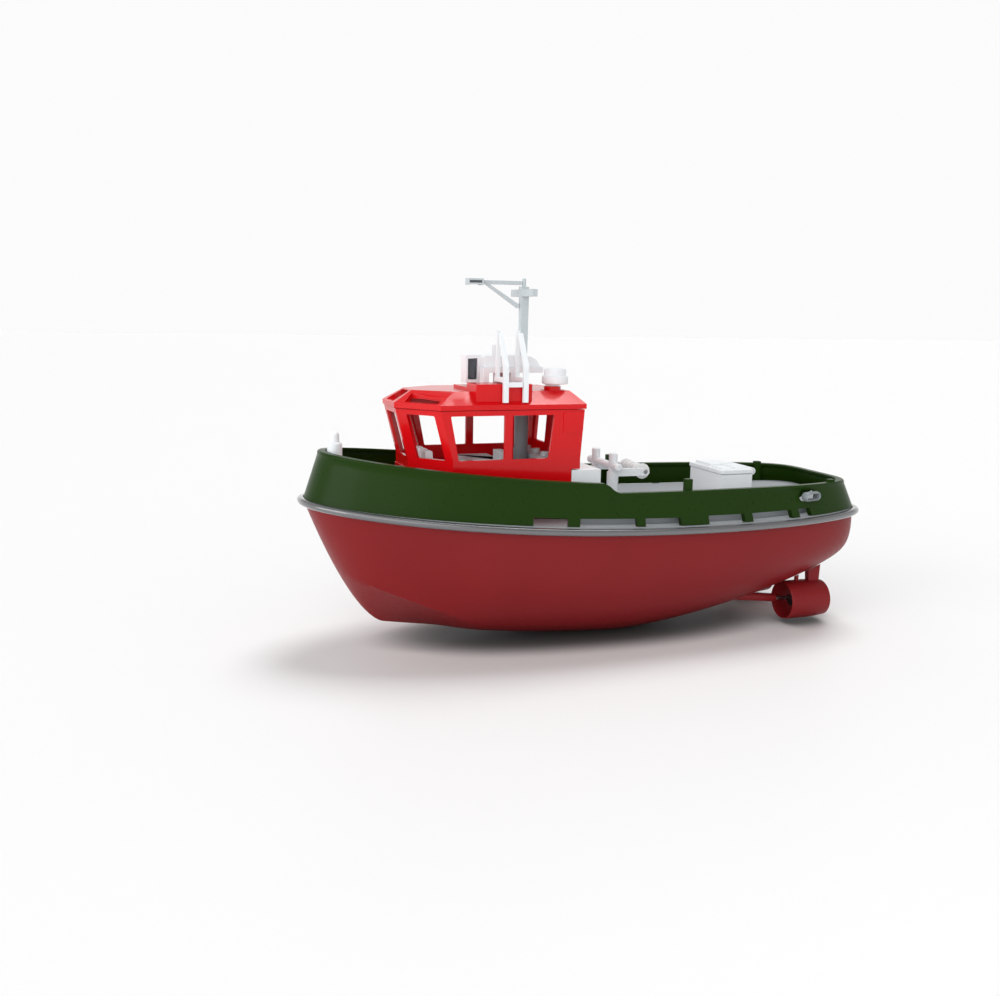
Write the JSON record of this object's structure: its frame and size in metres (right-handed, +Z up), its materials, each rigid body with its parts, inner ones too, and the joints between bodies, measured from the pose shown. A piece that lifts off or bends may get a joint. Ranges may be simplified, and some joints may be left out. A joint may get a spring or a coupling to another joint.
{
  "type": "radio controlled boat",
  "caption": "Radio controlled model harbour tug with a lift-off wheelhouse, rubber fender, bulwark, towing winch, mast and ducted propellers driven by electric motors.",
  "frame": {"origin": "under the middle of the boat, on the level that the keel's flat sole stands on", "axes": "+X towards the bow, +Y to port, +Z up the mast"},
  "size_m": [0.285, 0.105, 0.17],
  "materials": {
    "hull_red": "satin dark red moulded plastic",
    "house_red": "bright red moulded plastic with a soft gloss",
    "bulwark_green": "dark green moulded plastic with a soft gloss",
    "deck_grey": "matt grey moulded plastic",
    "fender_grey": "satin grey rubber",
    "fitting_white": "off-white moulded plastic",
    "mast_grey": "pale grey moulded plastic",
    "dark_glass": "smoked glossy plastic",
    "steel": "plain bright steel",
    "brass": "drawn brass tube",
    "black_plastic": "black nylon",
    "battery_blue": "blue shrink sleeve",
    "board_green": "green circuit board with its parts",
    "seal_rubber": "black rubber",
    "ballast_iron": "plain cast weight"
  },
  "bodies": {
    "hull": {"hull_shell": "hull_red", "port_nozzle": "hull_red", "starboard_nozzle": "hull_red", "bulwark": "bulwark_green", "main_deck": "deck_grey", "hatch_cover": "deck_grey", "rubbing_fender": "fender_grey", "winch_house": "fitting_white", "winch_frame": "fitting_white", "bow_bitt": "fitting_white", "deck_box": "fitting_white", "port_fairlead": "mast_grey", "starboard_fairlead": "mast_grey", "winch_spindle": "steel", "deck_box_hinge_pin": "steel", "port_motor_can": "steel", "port_water_contact": "steel", "starboard_motor_can": "steel", "starboard_water_contact": "steel", "port_hatch_screw": "steel", "starboard_hatch_screw": "steel", "port_stern_tube": "brass", "starboard_stern_tube": "brass", "power_switch_body": "black_plastic", "motor_mount": "black_plastic", "battery_tray": "black_plastic", "board_shelf": "black_plastic", "port_motor_end_bell": "black_plastic", "starboard_motor_end_bell": "black_plastic", "battery_pack": "battery_blue", "receiver_board": "board_green", "hatch_seal": "seal_rubber", "ballast_weight": "ballast_iron"},
    "superstructure": {"wheelhouse": "house_red", "wheelhouse_roof": "house_red", "bridge_floor": "deck_grey", "bridge_console": "fitting_white", "bridge_bench": "mast_grey", "bridge_cabinet": "mast_grey", "mast_column": "mast_grey", "radar_platform": "fitting_white", "aft_antenna_frame": "fitting_white", "forward_antenna_frame": "fitting_white", "searchlight_housing": "fitting_white", "searchlight_lens": "dark_glass", "radome": "fitting_white", "mast": "mast_grey", "mast_arm": "mast_grey", "mast_lamp": "mast_grey"},
    "port_driveline": {"port_propeller": "black_plastic", "port_prop_shaft": "steel", "port_coupling": "black_plastic", "port_motor_spindle": "steel"},
    "starboard_driveline": {"starboard_propeller": "black_plastic", "starboard_prop_shaft": "steel", "starboard_coupling": "black_plastic", "starboard_motor_spindle": "steel"},
    "towing_drum": {"winch_drum": "fitting_white"},
    "box_lid": {"deck_box_lid": "fitting_white"},
    "switch_slider": {"power_switch_slider": "black_plastic"}
  },
  "joints": [
    {"name": "wheelhouse_lift", "type": "slide", "parent": "hull", "child": "superstructure", "axis": [0, 0, 1], "range_m": [0, 0.06]},
    {"name": "port_propeller_spin", "type": "hinge", "parent": "hull", "child": "port_driveline", "pos_m": [-0.109, 0.025, 0.0114], "axis": [0.9936, 0, 0.1132], "continuous": true},
    {"name": "starboard_propeller_spin", "type": "hinge", "parent": "hull", "child": "starboard_driveline", "pos_m": [-0.109, -0.025, 0.0114], "axis": [0.9936, 0, 0.1132], "continuous": true},
    {"name": "winch_drum_spin", "type": "hinge", "parent": "hull", "child": "towing_drum", "pos_m": [-0.025, 0, 0.079], "axis": [0, 1, 0], "continuous": true},
    {"name": "deck_box_lid_hinge", "type": "hinge", "parent": "hull", "child": "box_lid", "pos_m": [-0.0862, 0, 0.0766], "axis": [0, -1, 0], "range_deg": [0, 105]},
    {"name": "power_switch_slide", "type": "slide", "parent": "hull", "child": "switch_slider", "axis": [1, 0, 0], "range_m": [0, 0.004]}
  ]
}
